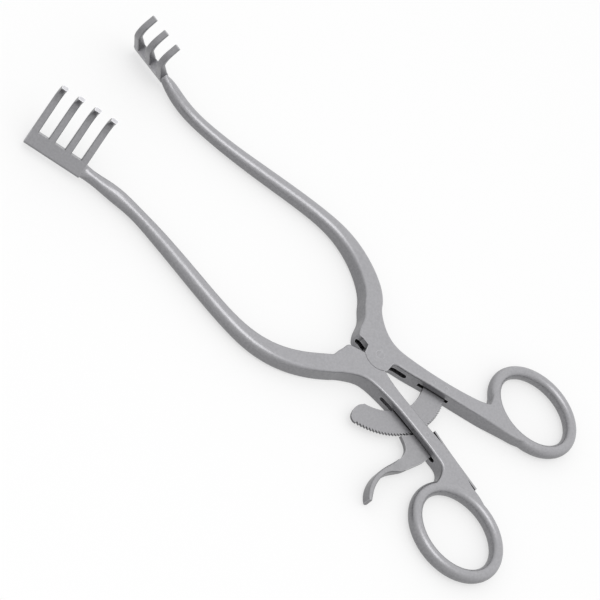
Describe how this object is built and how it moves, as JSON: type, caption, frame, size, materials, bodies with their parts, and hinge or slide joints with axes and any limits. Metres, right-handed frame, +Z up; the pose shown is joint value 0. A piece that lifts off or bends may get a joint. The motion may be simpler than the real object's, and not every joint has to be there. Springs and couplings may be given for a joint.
{
  "type": "self retaining retractor",
  "caption": "Self retaining surgical retractor with ring handles, box joint, ratchet rack, thumb release and curved pronged combs.",
  "frame": {"origin": "on the pivot axis of the box joint, level with the flat underside", "axes": "+Z up along the pivot axis, the way the prongs stand; +Y towards the combs; +X towards the three-prong half"},
  "size_m": [0.0992, 0.212, 0.0254],
  "materials": {
    "forged_steel": "satin",
    "plate_steel": "satin",
    "spring_steel": "satin, a little brighter"
  },
  "bodies": {
    "four_prong_body": {"four_prong_half": "forged_steel", "lever_pin": "forged_steel", "leaf_spring": "spring_steel", "spring_screw": "spring_steel"},
    "three_prong_body": {"three_prong_half": "forged_steel", "pivot_rivet": "forged_steel", "ratchet_rack": "plate_steel", "rack_rivet_upper": "forged_steel", "rack_rivet_lower": "forged_steel"},
    "lever_body": {"release_lever": "plate_steel"}
  },
  "joints": [
    {"name": "box_joint", "type": "hinge", "parent": "four_prong_body", "child": "three_prong_body", "pos_m": [0, 0, 0.0033], "axis": [0, 0, 1], "range_deg": [-26, 22]},
    {"name": "ratchet_release", "type": "hinge", "parent": "four_prong_body", "child": "lever_body", "pos_m": [-0.0124, -0.029, 0.0033], "axis": [0, 0, 1], "range_deg": [0, 12], "stiffness_Nm_per_rad": 0.1, "springref_deg": -14.32, "deforming": ["leaf_spring"]}
  ]
}
